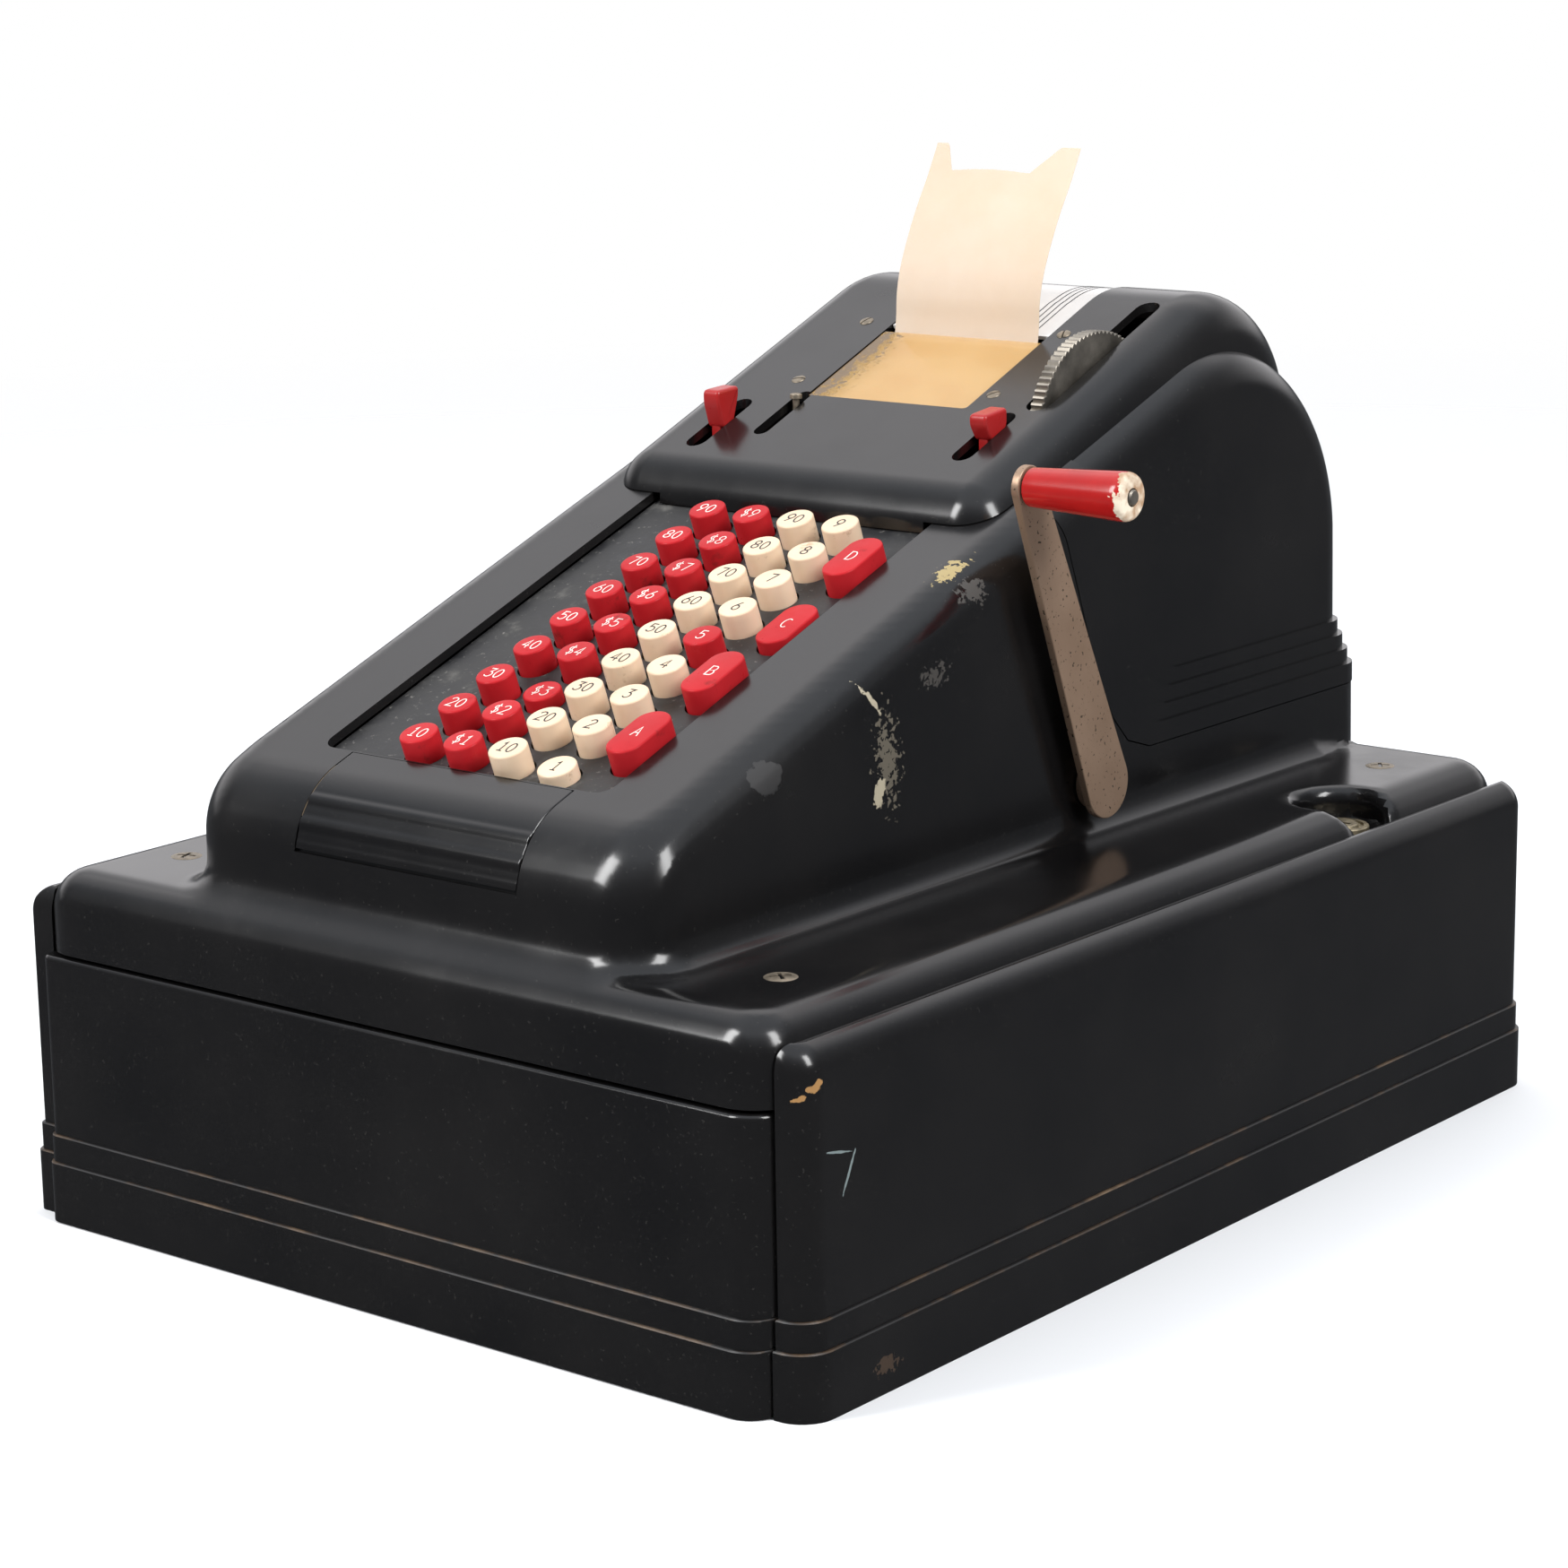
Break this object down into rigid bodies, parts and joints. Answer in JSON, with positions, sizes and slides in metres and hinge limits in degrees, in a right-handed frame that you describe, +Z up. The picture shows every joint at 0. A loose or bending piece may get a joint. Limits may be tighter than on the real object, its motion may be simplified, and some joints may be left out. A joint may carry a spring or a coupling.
{
  "type": "adding machine",
  "caption": "Mechanical adding machine with sloping keyboard, side crank and paper tape, on a cash drawer base.",
  "frame": {"origin": "on the floor, in the middle of the base", "axes": "+Z up, +X to the operator's right, -Y towards the operator"},
  "size_m": [0.333, 0.43, 0.34],
  "materials": {
    "black_enamel": "gloss black",
    "drawer_tray": "satin",
    "key_plate": "worn satin",
    "steel": "aged",
    "nickel": "speckled nickel plate",
    "brass": "aged",
    "red_plastic": "gloss",
    "cream_plastic": "semi-gloss, stained",
    "rubber": "matt",
    "paper": "matt paper",
    "amber_window": "clear amber"
  },
  "bodies": {
    "base": {"cabinet": "black_enamel", "side_panel_left": "black_enamel", "side_panel_right": "black_enamel", "lower_housing": "black_enamel", "upper_hood": "black_enamel", "nameplate": "black_enamel", "key_plate": "key_plate", "mechanism_frame": "steel", "window_pane": "amber_window", "paper_strip": "paper"},
    "drawer": {"cash_drawer": "drawer_tray", "drawer_front": "black_enamel"},
    "crank": {"crank_arm": "nickel"},
    "grip": {"crank_grip": "red_plastic"},
    "feed_wheel": {"feed_wheel": "steel"},
    "platen": {"platen": "rubber"},
    "lever_left": {"lever_left": "red_plastic"},
    "lever_right": {"lever_right": "red_plastic"},
    "slide_pin": {"slide_pin": "nickel"},
    "drawer_lock": {"drawer_lock": "brass"},
    "key_c0_r0": {"key_c0_r0": "red_plastic"},
    "key_c0_r1": {"key_c0_r1": "red_plastic"},
    "key_c0_r2": {"key_c0_r2": "red_plastic"},
    "key_c0_r3": {"key_c0_r3": "red_plastic"},
    "key_c0_r4": {"key_c0_r4": "red_plastic"},
    "key_c0_r5": {"key_c0_r5": "red_plastic"},
    "key_c0_r6": {"key_c0_r6": "red_plastic"},
    "key_c0_r7": {"key_c0_r7": "red_plastic"},
    "key_c0_r8": {"key_c0_r8": "red_plastic"},
    "key_c1_r0": {"key_c1_r0": "red_plastic"},
    "key_c1_r1": {"key_c1_r1": "red_plastic"},
    "key_c1_r2": {"key_c1_r2": "red_plastic"},
    "key_c1_r3": {"key_c1_r3": "red_plastic"},
    "key_c1_r4": {"key_c1_r4": "red_plastic"},
    "key_c1_r5": {"key_c1_r5": "red_plastic"},
    "key_c1_r6": {"key_c1_r6": "red_plastic"},
    "key_c1_r7": {"key_c1_r7": "red_plastic"},
    "key_c1_r8": {"key_c1_r8": "red_plastic"},
    "key_c2_r0": {"key_c2_r0": "cream_plastic"},
    "key_c2_r1": {"key_c2_r1": "cream_plastic"},
    "key_c2_r2": {"key_c2_r2": "cream_plastic"},
    "key_c2_r3": {"key_c2_r3": "cream_plastic"},
    "key_c2_r4": {"key_c2_r4": "cream_plastic"},
    "key_c2_r5": {"key_c2_r5": "cream_plastic"},
    "key_c2_r6": {"key_c2_r6": "cream_plastic"},
    "key_c2_r7": {"key_c2_r7": "cream_plastic"},
    "key_c2_r8": {"key_c2_r8": "cream_plastic"},
    "key_c3_r0": {"key_c3_r0": "cream_plastic"},
    "key_c3_r1": {"key_c3_r1": "cream_plastic"},
    "key_c3_r2": {"key_c3_r2": "cream_plastic"},
    "key_c3_r3": {"key_c3_r3": "cream_plastic"},
    "key_c3_r4": {"key_c3_r4": "red_plastic"},
    "key_c3_r5": {"key_c3_r5": "cream_plastic"},
    "key_c3_r6": {"key_c3_r6": "cream_plastic"},
    "key_c3_r7": {"key_c3_r7": "cream_plastic"},
    "key_c3_r8": {"key_c3_r8": "cream_plastic"},
    "key_oval_a": {"key_oval_a": "red_plastic"},
    "key_oval_b": {"key_oval_b": "red_plastic"},
    "key_oval_c": {"key_oval_c": "red_plastic"},
    "key_oval_d": {"key_oval_d": "red_plastic"}
  },
  "joints": [
    {"name": "drawer_slide", "type": "slide", "parent": "base", "child": "drawer", "axis": [0, -1, 0], "range_m": [0, 0.26]},
    {"name": "crank_pull", "type": "hinge", "parent": "base", "child": "crank", "pos_m": [0.1045, 0.0315, 0.1375], "axis": [1, 0, 0], "range_deg": [0, 65], "stiffness_Nm_per_rad": 0.3, "springref_deg": -45.84},
    {"name": "grip_spin", "type": "hinge", "parent": "crank", "child": "grip", "pos_m": [0.126, -0.013, 0.2435], "axis": [1, 0, 0], "continuous": true},
    {"name": "platen_spin", "type": "hinge", "parent": "base", "child": "platen", "pos_m": [0, 0.0845, 0.2462], "axis": [1, 0, 0], "continuous": true},
    {"name": "feed_wheel_spin", "type": "hinge", "parent": "base", "child": "feed_wheel", "pos_m": [0.062, 0.0845, 0.2462], "axis": [1, 0, 0], "continuous": true},
    {"name": "lever_left_tilt", "type": "hinge", "parent": "base", "child": "lever_left", "pos_m": [-0.055, 0.026, 0.216], "axis": [1, 0, 0], "range_deg": [-10, 10]},
    {"name": "lever_right_tilt", "type": "hinge", "parent": "base", "child": "lever_right", "pos_m": [0.055, 0.034, 0.216], "axis": [1, 0, 0], "range_deg": [-6, 12]},
    {"name": "pin_slide", "type": "slide", "parent": "base", "child": "slide_pin", "axis": [0, -0.9272, -0.3746], "range_m": [0, 0.016]},
    {"name": "lock_turn", "type": "hinge", "parent": "base", "child": "drawer_lock", "pos_m": [0.141, 0.122, 0.105], "axis": [0, 0, 1], "range_deg": [0, 90]},
    {"name": "key_c0_r0_press", "type": "slide", "parent": "base", "child": "key_c0_r0", "axis": [0, 0.342, -0.9397], "range_m": [0, 0.004], "stiffness_N_per_m": 60, "springref_m": -0.004},
    {"name": "key_c0_r1_press", "type": "slide", "parent": "base", "child": "key_c0_r1", "axis": [0, 0.342, -0.9397], "range_m": [0, 0.004], "stiffness_N_per_m": 60, "springref_m": -0.004},
    {"name": "key_c0_r2_press", "type": "slide", "parent": "base", "child": "key_c0_r2", "axis": [0, 0.342, -0.9397], "range_m": [0, 0.004], "stiffness_N_per_m": 60, "springref_m": -0.004},
    {"name": "key_c0_r3_press", "type": "slide", "parent": "base", "child": "key_c0_r3", "axis": [0, 0.342, -0.9397], "range_m": [0, 0.004], "stiffness_N_per_m": 60, "springref_m": -0.004},
    {"name": "key_c0_r4_press", "type": "slide", "parent": "base", "child": "key_c0_r4", "axis": [0, 0.342, -0.9397], "range_m": [0, 0.004], "stiffness_N_per_m": 60, "springref_m": -0.004},
    {"name": "key_c0_r5_press", "type": "slide", "parent": "base", "child": "key_c0_r5", "axis": [0, 0.342, -0.9397], "range_m": [0, 0.004], "stiffness_N_per_m": 60, "springref_m": -0.004},
    {"name": "key_c0_r6_press", "type": "slide", "parent": "base", "child": "key_c0_r6", "axis": [0, 0.342, -0.9397], "range_m": [0, 0.004], "stiffness_N_per_m": 60, "springref_m": -0.004},
    {"name": "key_c0_r7_press", "type": "slide", "parent": "base", "child": "key_c0_r7", "axis": [0, 0.342, -0.9397], "range_m": [0, 0.004], "stiffness_N_per_m": 60, "springref_m": -0.004},
    {"name": "key_c0_r8_press", "type": "slide", "parent": "base", "child": "key_c0_r8", "axis": [0, 0.342, -0.9397], "range_m": [0, 0.004], "stiffness_N_per_m": 60, "springref_m": -0.004},
    {"name": "key_c1_r0_press", "type": "slide", "parent": "base", "child": "key_c1_r0", "axis": [0, 0.342, -0.9397], "range_m": [0, 0.004], "stiffness_N_per_m": 60, "springref_m": -0.004},
    {"name": "key_c1_r1_press", "type": "slide", "parent": "base", "child": "key_c1_r1", "axis": [0, 0.342, -0.9397], "range_m": [0, 0.004], "stiffness_N_per_m": 60, "springref_m": -0.004},
    {"name": "key_c1_r2_press", "type": "slide", "parent": "base", "child": "key_c1_r2", "axis": [0, -0.342, 0.9397], "range_m": [0, 0.004]},
    {"name": "key_c1_r3_press", "type": "slide", "parent": "base", "child": "key_c1_r3", "axis": [0, 0.342, -0.9397], "range_m": [0, 0.004], "stiffness_N_per_m": 60, "springref_m": -0.004},
    {"name": "key_c1_r4_press", "type": "slide", "parent": "base", "child": "key_c1_r4", "axis": [0, 0.342, -0.9397], "range_m": [0, 0.004], "stiffness_N_per_m": 60, "springref_m": -0.004},
    {"name": "key_c1_r5_press", "type": "slide", "parent": "base", "child": "key_c1_r5", "axis": [0, 0.342, -0.9397], "range_m": [0, 0.004], "stiffness_N_per_m": 60, "springref_m": -0.004},
    {"name": "key_c1_r6_press", "type": "slide", "parent": "base", "child": "key_c1_r6", "axis": [0, 0.342, -0.9397], "range_m": [0, 0.004], "stiffness_N_per_m": 60, "springref_m": -0.004},
    {"name": "key_c1_r7_press", "type": "slide", "parent": "base", "child": "key_c1_r7", "axis": [0, 0.342, -0.9397], "range_m": [0, 0.004], "stiffness_N_per_m": 60, "springref_m": -0.004},
    {"name": "key_c1_r8_press", "type": "slide", "parent": "base", "child": "key_c1_r8", "axis": [0, 0.342, -0.9397], "range_m": [0, 0.004], "stiffness_N_per_m": 60, "springref_m": -0.004},
    {"name": "key_c2_r0_press", "type": "slide", "parent": "base", "child": "key_c2_r0", "axis": [0, 0.342, -0.9397], "range_m": [0, 0.004], "stiffness_N_per_m": 60, "springref_m": -0.004},
    {"name": "key_c2_r1_press", "type": "slide", "parent": "base", "child": "key_c2_r1", "axis": [0, 0.342, -0.9397], "range_m": [0, 0.004], "stiffness_N_per_m": 60, "springref_m": -0.004},
    {"name": "key_c2_r2_press", "type": "slide", "parent": "base", "child": "key_c2_r2", "axis": [0, 0.342, -0.9397], "range_m": [0, 0.004], "stiffness_N_per_m": 60, "springref_m": -0.004},
    {"name": "key_c2_r3_press", "type": "slide", "parent": "base", "child": "key_c2_r3", "axis": [0, 0.342, -0.9397], "range_m": [0, 0.004], "stiffness_N_per_m": 60, "springref_m": -0.004},
    {"name": "key_c2_r4_press", "type": "slide", "parent": "base", "child": "key_c2_r4", "axis": [0, 0.342, -0.9397], "range_m": [0, 0.004], "stiffness_N_per_m": 60, "springref_m": -0.004},
    {"name": "key_c2_r5_press", "type": "slide", "parent": "base", "child": "key_c2_r5", "axis": [0, 0.342, -0.9397], "range_m": [0, 0.004], "stiffness_N_per_m": 60, "springref_m": -0.004},
    {"name": "key_c2_r6_press", "type": "slide", "parent": "base", "child": "key_c2_r6", "axis": [0, 0.342, -0.9397], "range_m": [0, 0.004], "stiffness_N_per_m": 60, "springref_m": -0.004},
    {"name": "key_c2_r7_press", "type": "slide", "parent": "base", "child": "key_c2_r7", "axis": [0, 0.342, -0.9397], "range_m": [0, 0.004], "stiffness_N_per_m": 60, "springref_m": -0.004},
    {"name": "key_c2_r8_press", "type": "slide", "parent": "base", "child": "key_c2_r8", "axis": [0, 0.342, -0.9397], "range_m": [0, 0.004], "stiffness_N_per_m": 60, "springref_m": -0.004},
    {"name": "key_c3_r0_press", "type": "slide", "parent": "base", "child": "key_c3_r0", "axis": [0, -0.342, 0.9397], "range_m": [0, 0.004]},
    {"name": "key_c3_r1_press", "type": "slide", "parent": "base", "child": "key_c3_r1", "axis": [0, 0.342, -0.9397], "range_m": [0, 0.004], "stiffness_N_per_m": 60, "springref_m": -0.004},
    {"name": "key_c3_r2_press", "type": "slide", "parent": "base", "child": "key_c3_r2", "axis": [0, 0.342, -0.9397], "range_m": [0, 0.004], "stiffness_N_per_m": 60, "springref_m": -0.004},
    {"name": "key_c3_r3_press", "type": "slide", "parent": "base", "child": "key_c3_r3", "axis": [0, 0.342, -0.9397], "range_m": [0, 0.004], "stiffness_N_per_m": 60, "springref_m": -0.004},
    {"name": "key_c3_r4_press", "type": "slide", "parent": "base", "child": "key_c3_r4", "axis": [0, 0.342, -0.9397], "range_m": [0, 0.004], "stiffness_N_per_m": 60, "springref_m": -0.004},
    {"name": "key_c3_r5_press", "type": "slide", "parent": "base", "child": "key_c3_r5", "axis": [0, 0.342, -0.9397], "range_m": [0, 0.004], "stiffness_N_per_m": 60, "springref_m": -0.004},
    {"name": "key_c3_r6_press", "type": "slide", "parent": "base", "child": "key_c3_r6", "axis": [0, 0.342, -0.9397], "range_m": [0, 0.004], "stiffness_N_per_m": 60, "springref_m": -0.004},
    {"name": "key_c3_r7_press", "type": "slide", "parent": "base", "child": "key_c3_r7", "axis": [0, 0.342, -0.9397], "range_m": [0, 0.004], "stiffness_N_per_m": 60, "springref_m": -0.004},
    {"name": "key_c3_r8_press", "type": "slide", "parent": "base", "child": "key_c3_r8", "axis": [0, 0.342, -0.9397], "range_m": [0, 0.004], "stiffness_N_per_m": 60, "springref_m": -0.004},
    {"name": "key_oval_a_press", "type": "slide", "parent": "base", "child": "key_oval_a", "axis": [0, 0.342, -0.9397], "range_m": [0, 0.004], "stiffness_N_per_m": 60, "springref_m": -0.004},
    {"name": "key_oval_b_press", "type": "slide", "parent": "base", "child": "key_oval_b", "axis": [0, 0.342, -0.9397], "range_m": [0, 0.004], "stiffness_N_per_m": 60, "springref_m": -0.004},
    {"name": "key_oval_c_press", "type": "slide", "parent": "base", "child": "key_oval_c", "axis": [0, -0.342, 0.9397], "range_m": [0, 0.004]},
    {"name": "key_oval_d_press", "type": "slide", "parent": "base", "child": "key_oval_d", "axis": [0, 0.342, -0.9397], "range_m": [0, 0.004], "stiffness_N_per_m": 60, "springref_m": -0.004}
  ],
  "couplings": [
    {"joint": "feed_wheel_spin", "follows": "platen_spin", "ratio": 1}
  ]
}
